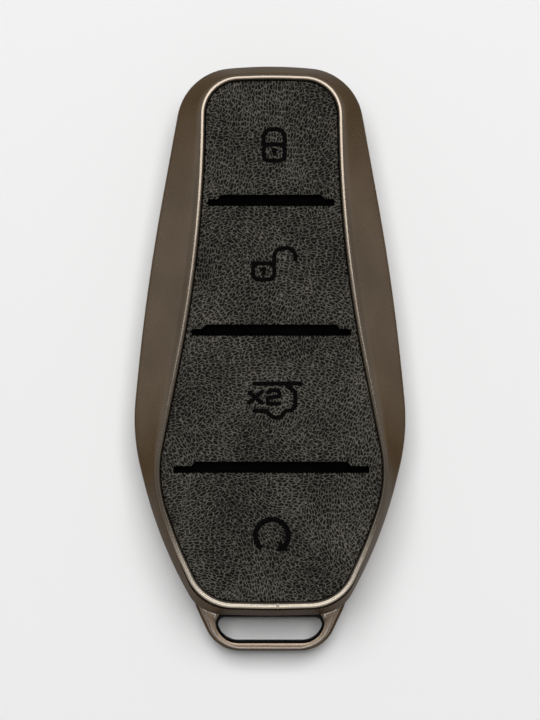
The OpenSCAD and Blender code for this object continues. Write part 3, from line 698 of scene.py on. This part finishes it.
# --- Trim ring ----------------------------------------------------------------------------
# A half-round wire of zinc alloy, bent to the panel's outline, butted at the wide end and
# glued into its seat. It is coated like the shells, and then burnished till it mirrors the lamps.

# Shares of the ring's width, and heights above its seat in mm: it leans up from its foot.
bead_section = ([(0, ring_seat)] + [(a * ring_width, ring_seat + h) for a, h in (
    (0, 1.5), (0.1, 1.531), (0.2, 1.556), (0.3, 1.574), (0.42, 1.589), (0.54, 1.597), (0.64, 1.6),
    (0.73, 1.583), (0.81, 1.535), (0.88, 1.45), (0.935, 1.33), (0.975, 1.16), (1, 0.9))]
                + [(ring_width, ring_seat)])
bead_rings = [lifted(plan(1, i), z) for i, z in bead_section]

# The butt joint, a notch at the wide end: its place right of the centre, half its widths at
# the floor and at the rim, and the height of its floor above the seat, mm.
joint_place, half_floor, half_rim, floor_height = 1.3, 0.15, 0.2, 1.44


def stepped(start, towards, distance):
    """The point at a distance from one point towards another, and no further than that."""
    way = towards - start
    return start + way * min(1, distance / np.linalg.norm(way))


foot = bead_rings[0]
place = int(np.argmin(np.where(foot[:, 1] < 0, np.abs(foot[:, 0] - joint_place), np.inf)))
for j, ring in enumerate(bead_rings):
    there, before, after = ring[place], ring[place - 1], ring[(place + 1) % len(ring)]
    notch = np.array([stepped(there, before, half_rim), stepped(there, before, half_floor), there,
                      stepped(there, after, half_floor), stepped(there, after, half_rim)])
    notch[1:4, 2] = np.minimum(notch[1:4, 2], ring_seat + floor_height)
    bead_rings[j] = np.concatenate([ring[:place], notch, ring[place + 1:]])

# Burnished bronze coating: the satin coat of the shells, polished along the ring's crest to
# a dark mirror, and left satin on its slopes. Towards the wide end its colour is painted lighter,
# a painted highlight, and its gloss is duller there; it shows faint wiping marks.
polished_bronze, shader = new_finish("burnished bronze coating")
shader.inputs["Metallic"].default_value = 0.9
shader.inputs["Specular IOR Level"].default_value = 0
shader.inputs["Specular Tint"].default_value = colour("#978c80")
where = places_in_mm(polished_bronze)
wipes = noise(polished_bronze, where, 1.5, 3)
shape = add(polished_bronze, "ShaderNodeNewGeometry")
upward = add(polished_bronze, "ShaderNodeSeparateXYZ", links={"Vector": shape.outputs["Normal"]})
crest = add(polished_bronze, "ShaderNodeMapRange",
            {"interpolation_type": "SMOOTHSTEP", "From Min": 0.93, "From Max": 0.999},
            {"Value": upward.outputs["Z"]})
tint = tinted(polished_bronze, crest.outputs["Result"], [(0, "#685e52"), (1, "#5f574e")])
lengthwise = add(polished_bronze, "ShaderNodeSeparateXYZ", links={"Vector": where})
# Painted highlight: this mask lightens the ring's colour towards the wide end, and dulls its gloss
# there.
highlit_end = add(polished_bronze, "ShaderNodeMapRange",
           {"interpolation_type": "SMOOTHSTEP", "From Min": -24, "From Max": -37},
           {"Value": lengthwise.outputs["Y"]})
lightened = add(polished_bronze, "ShaderNodeMix", {"data_type": "RGBA", 7: colour("#877f74")},
             {0: highlit_end.outputs["Result"], 6: tint})
slope_gloss = add(polished_bronze, "ShaderNodeMapRange", {"To Min": 0.38, "To Max": 0.11},
                  {"Value": crest.outputs["Result"]})
wiped = add(polished_bronze, "ShaderNodeMath", {"operation": "MULTIPLY_ADD", 1: 0.03},
            {0: wipes.outputs["Fac"], 2: slope_gloss.outputs["Result"]})
gloss = add(polished_bronze, "ShaderNodeMath", {"operation": "MULTIPLY_ADD", 1: 0.14},
            {0: highlit_end.outputs["Result"], 2: wiped.outputs[0]})
wire(polished_bronze, shader, {"Base Color": lightened.outputs[2], "Roughness": gloss.outputs[0]})

bead = make_piece("polished_bead", [walls(bead_rings, closed=True)], [polished_bronze],
                  "front_half", sharp=50)
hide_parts("trim_ring")

# --- Front liner --------------------------------------------------------------------------
# A black hoop moulded in ABS lines the front half. Its ledge clamps the rubber mat's edge
# against the metal lip.

pad_bottom, ledge_bottom, liner_bottom, margin_inset = 15.9, 15.1, 10.2, 1.94
hoop_section = eased([
    (0, liner_inset, liner_bottom, 0.12), (0, liner_inset, front_shoulder, 0.2),
    (thinning_share, liner_inset, front_thinning, 0.2),
    (front_share(pad_bottom), lip_liner_inset + 0.15, pad_bottom, 0.1),
    (1, margin_inset, pad_bottom, 0.1), (1, margin_inset, ledge_bottom, 0.1),
    (front_share(ledge_bottom), cavity_inset, ledge_bottom, 0.3),
    (thinning_share, cavity_inset, front_thinning, 0.2),
    (0, cavity_inset, front_shoulder, 0.2), (0, cavity_inset, liner_bottom, 0.12),
])
# Its ledge isn't shifted with the opening, so that it stays clear of the keys.
hoop_rings = [lifted(plan(s, i) - (s > 0.9) * panel_shift, z) for s, i, z in hoop_section]
liner_hoop = make_piece("liner_hoop", [walls(hoop_rings, closed=True)], [moulded_abs], "front_half")
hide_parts("front_liner")

# --- Button mat and key pads --------------------------------------------------------------
# One sheet of black silicone rubber lies under the leather: a clamped edge, a bar behind
# each slit and a thick pad with a nub over each of the fob's buttons. The CAD solids have
# its shape and stay.

# Moulded silicone rubber: matt black with a dusty bloom and a faint mould grain. Its black is
# darkened far below real rubber, painted shade, so that the slits over its bars read as deep shade.
shade_black_silicone, shader = new_finish("moulded black silicone rubber")
where = places_in_mm(shade_black_silicone)
bloom = noise(shade_black_silicone, where, 2.5, 4)
grain = noise(shade_black_silicone, where, 0.2, 2)
# The near-black colour stands in for the deep shade seen in the slits: painted shade.
tint = tinted(shade_black_silicone, bloom.outputs["Fac"], [(0.3, "#020202"), (0.7, "#050505")])
relief = add(shade_black_silicone, "ShaderNodeBump", {"Strength": 0.3, "Distance": 0.00002},
             {"Height": grain.outputs["Fac"]})
shader.inputs["IOR"].default_value = 1.41
shader.inputs["Specular IOR Level"].default_value = 0.01
shader.inputs["Roughness"].default_value = 0.8
wire(shade_black_silicone, shader, {"Base Color": tint, "Normal": relief.outputs["Normal"]})

for node in ("button_mat", "lock_pad", "unlock_pad", "boot_pad", "start_pad"):
    refinish(node, shade_black_silicone)

# --- Front leather ------------------------------------------------------------------------
# The front panel is one skin of the same leather, die-cut with three slits between the keys
# and glued to the mat. It is held at its edge and bends as a key goes in; each key's part of
# it is made here in sectors, which meet without a step.

leather_top, leather_bottom, leather_inset = 17.9, 17.1, 1.06
edge_round, edge_drop = 0.2, 0.14  # how far in and how far down its edges are rounded, mm
# Slits from the narrow end down: the straight edge's place as a share of the panel's half
# length, half a slit as a share of its half width, and the wide middle as a share of that.
slit_lines = [(0.509, 0.556, 0.793), (0.018, 0.70, 0.816), (-0.501, 0.858, 0.781)]
slit_height, slit_end_height, slit_bevel, slit_offset = 1.79, 1.08, 0.6, 0.2


def slit_corners(edge, half, middle):
    """Corners of a slit, clockwise: straight below, and stepped down at its thin ends above."""
    y, h = edge * panel_half_length, half * panel_half_width
    w = h * middle
    right = [(w, y + slit_height, 0.3), (w + slit_bevel, y + slit_end_height, 0.3),
             (h, y + slit_end_height, 0.25), (h, y, 0.25)]
    return np.array([(x + slit_offset, v, r) for x, v, r in right]
                    + [(-x + slit_offset, v, r) for x, v, r in right[::-1]])


def spaced(loop, step):
    """A closed outline walked again in steps of about one length."""
    closed = np.concatenate([loop, loop[:1]])
    s = np.r_[0, np.cumsum(np.linalg.norm(np.diff(closed, axis=0), axis=1))]
    t = np.linspace(0, s[-1], max(8, round(s[-1] / step)) + 1)[:-1]
    return np.column_stack([np.interp(t, s, closed[:, 0]), np.interp(t, s, closed[:, 1])])


def distance_to(points, loops):
    """Distance from each point to the nearest of some closed outlines."""
    nearest = np.full(len(points), 1e9)
    for loop in loops:
        a, d = loop, np.roll(loop, -1, 0) - loop
        d2 = np.maximum((d * d).sum(1), 1e-12)
        for k in range(0, len(points), 1500):
            p = points[k:k + 1500, None, :] - a[None]
            t = np.clip((p * d).sum(2) / d2, 0, 1)
            gap = np.linalg.norm(p - t[..., None] * d, axis=2).min(1)
            nearest[k:k + 1500] = np.minimum(nearest[k:k + 1500], gap)
    return nearest


skin_edge = plan(1, leather_inset)
slits = [rounded(slit_corners(*s), 4) for s in slit_lines]
# Rows of points run along every edge at these distances, and an even grid of triangles fills
# the rest from some way off, mm.
row_distances, row_step, grid_gap, grid_step = (0.05, 0.14, 0.3), 0.6, 0.55, 0.9
rows = [plan(1, leather_inset + d) for d in row_distances]
rows += [spaced(rounded(moved_in(slit_corners(*s), -d), 4), row_step)
         for s in slit_lines for d in row_distances]
across = np.arange(-20, 20, grid_step)
up = np.arange(-44, 44, grid_step * 0.866)
grid = np.array([(x + (j % 2) * grid_step / 2, y) for j, y in enumerate(up) for x in across])
grid = grid[inside(grid, skin_edge)]
for loop in slits:
    grid = grid[~inside(grid, loop)]
grid = grid[distance_to(grid, [skin_edge] + slits) > grid_gap]

# Bending lines: each sector's start line, just inside the slits' ends or the edge, and a ramp
# length from it; two sectors of a key meet on the line where both would bend alike. The ramps
# are worked out but nothing here bends the sectors.
ramp = 3.4  # mm
flex = [s[0] * panel_half_length + slit_end_height / 2 for s in slit_lines]
ends = [s[1] * panel_half_width for s in slit_lines]


def start_line(p, q):
    """A right-hand start line through two points: its first point and its inward normal."""
    p, q = np.array(p, float), np.array(q, float)
    d = (q - p) / np.linalg.norm(q - p)
    return p, np.array([d[1], -d[0]])


bends = [(9.2, 38.0)] + [(x + slit_offset, y) for x, y in zip(ends, flex)] + [(9.2, -37.6)]
side_lines = [start_line(p, q) for p, q in zip(bends, bends[1:])]
end_lines = {0: (np.array([0, 40.4]), np.array([0, -1.0])),
             3: (np.array([0, -40.6]), np.array([0, 1.0]))}


def meeting(side, end):
    """Where a side's and an end's bending are alike: its point on the centre line, and one far
    out on the same line."""
    (p, n), (q, m) = side, end
    # n.(x - p) = m.(x - q) is a line with the normal n - m
    k, c = n - m, n @ p - m @ q
    return np.array([0, c / k[1]]), np.array([30, (c - 30 * k[0]) / k[1]])


# Lines between the sectors, which reach past the skin's edge.
cuts = [((0, 46), (0, -46))] + [((-25, y), (25, y)) for y in flex]
for key, end in end_lines.items():
    a, b = meeting(side_lines[key], end)
    cuts += [(a, b), (a, b * (-1, 1))]
flat, triangles = filled([skin_edge] + slits, np.concatenate(rows + [grid]), cuts)
depth = distance_to(flat, [skin_edge] + slits)
rounded_off = np.clip(1 - depth / edge_round, 0, 1)
top = leather_top - edge_drop * (1 - np.sqrt(1 - rounded_off ** 2))


def skin_sector(kept):
    """One sector as a closed solid: the upper face, the under face and its edges."""
    used = triangles[kept]
    numbers, small = np.unique(used, return_inverse=True)
    small = small.reshape(used.shape)
    n = len(numbers)
    points = np.concatenate([np.column_stack([flat[numbers], top[numbers]]),
                             lifted(flat[numbers], leather_bottom)])
    faces = [tuple(t) for t in small] + [tuple(t[::-1] + n) for t in small]
    sides = dict.fromkeys((a, b) for t in small
                          for a, b in ((t[0], t[1]), (t[1], t[2]), (t[2], t[0])))
    faces += [(b, a, a + n, b + n) for a, b in sides if (b, a) not in sides]
    return points, faces


centres = flat[triangles].mean(1)
zone = (centres[:, 1][:, None] < np.array(flex)).sum(1)
keys = ["lock", "unlock", "boot", "start"]
for k, key in enumerate(keys):
    here, right = zone == k, centres[:, 0] > 0
    sectors = {"right": here & right, "left": here & ~right}
    p, n = side_lines[k]
    ramps = {"right": (p, p + n * ramp), "left": (p * (-1, 1), (p + n * ramp) * (-1, 1))}
    if k in end_lines:
        q, m = end_lines[k]
        mirrored = np.column_stack([np.abs(centres[:, 0]), centres[:, 1]])
        beyond = here & ((mirrored - q) @ m < (mirrored - p) @ n)
        sectors = {s: kept & ~beyond for s, kept in sectors.items()}
        sectors["end"], ramps["end"] = beyond, (q, q + m * ramp)
    for s, kept in sectors.items():
        piece = make_piece(f"{key}_skin_{s}", [skin_sector(kept)], [crackle_leather])
        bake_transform(piece)
        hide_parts(f"{key}_leather", "front_leather")

# --- Key marks ----------------------------------------------------------------------------
# A closed padlock, an open one, an open boot with a figure and a starting arrow are printed
# on the keys in black ink. The ink lies thin on the grain; the CAD solids have its shape.

# Screen-printed ink: flat near-black, with the leather's grain pressing through it.
printed_ink, shader = new_finish("screen-printed black ink")
where, height = crackle_grain(printed_ink)
tint = tinted(printed_ink, height, [(0, "#040404"), (1, "#0d0c0c")])
relief = add(printed_ink, "ShaderNodeBump", {"Strength": 0.5, "Distance": 0.00004},
             {"Height": height})
shader.inputs["IOR"].default_value = 1.5
shader.inputs["Specular IOR Level"].default_value = 0.02
shader.inputs["Roughness"].default_value = 0.8
wire(printed_ink, shader, {"Base Color": tint, "Normal": relief.outputs["Normal"]})

for key in keys:
    refinish(f"{key}_mark", printed_ink)

# --- Table, lamps and camera --------------------------------------------------------------
# The cover lies on a sheet of pale paper. A wide soft box hangs above the narrow end and
# throws the soft shadow towards the loop; a dim strip shows in the metal at the wide end.

table = bpy.data.meshes.new("table")
table.from_pydata([(-4, -4, 0), (4, -4, 0), (4, 4, 0), (-4, 4, 0)], [], [(0, 1, 2, 3)])
floor = bpy.data.objects.new("table", table)
bpy.context.scene.collection.objects.link(floor)

# Pale paper: very light neutral grey, matt.
paper, shader = new_finish("pale matt paper")
shader.inputs["Base Color"].default_value = colour("#f4f4f4")
shader.inputs["Roughness"].default_value = 1
shader.inputs["Specular IOR Level"].default_value = 0
table.materials.append(paper)


def soft_box(name, low, high, level, lights=True, mirrored=True):
    """A flat lamp between two corners at one height, facing down; level is its radiance. It
    lights the matt surfaces, or is mirrored in the shiny ones, or both."""
    lamp = bpy.data.lights.new(name, "AREA")
    lamp.shape = "RECTANGLE"
    lamp.size, lamp.size_y = high[0] - low[0], high[1] - low[1]
    lamp.energy = level * math.pi * lamp.size * lamp.size_y
    held = bpy.data.objects.new(name, lamp)
    held.location = [(a + b) / 2 for a, b in zip(low, high)]
    held.visible_camera = False
    held.visible_diffuse, held.visible_glossy = lights, mirrored
    bpy.context.scene.collection.objects.link(held)


# The wide box hangs in two fields, and only the near one is mirrored. Corners in metres.
soft_box("main soft box", (-0.62, 0.12, 1.8), (0.62, 0.75, 1.8), 8.65)
soft_box("far soft box", (-0.62, 0.75, 1.8), (0.62, 1.2, 1.8), 8.65, mirrored=False)
soft_box("narrow soft box", (-0.65, -0.85, 1.8), (0.65, -0.42, 1.8), 6, lights=False)

world = bpy.data.worlds.new("studio")
bpy.context.scene.world = world
world.use_nodes = True
world.node_tree.nodes["Background"].inputs["Color"].default_value = (1, 1, 1, 1)
path = add(world, "ShaderNodeLightPath")
seen = add(world, "ShaderNodeMath", {"operation": "MAXIMUM"},
           {0: path.outputs["Is Camera Ray"], 1: path.outputs["Is Glossy Ray"]})
sky = add(world, "ShaderNodeMapRange", {"To Min": 0.14, "To Max": 0.45}, {"Value": seen.outputs[0]})
world.node_tree.links.new(sky.outputs["Result"],
                          world.node_tree.nodes["Background"].inputs["Strength"])

lens = bpy.data.cameras.new("camera")
lens.lens, lens.sensor_width = 149.4, 36
lens.clip_start, lens.clip_end = 0.01, 20
camera = bpy.data.objects.new("camera", lens)
camera.location = (0, 0, 0.5)
bpy.context.scene.collection.objects.link(camera)
bpy.context.scene.camera = camera
bpy.context.scene.view_settings.view_transform = "Standard"
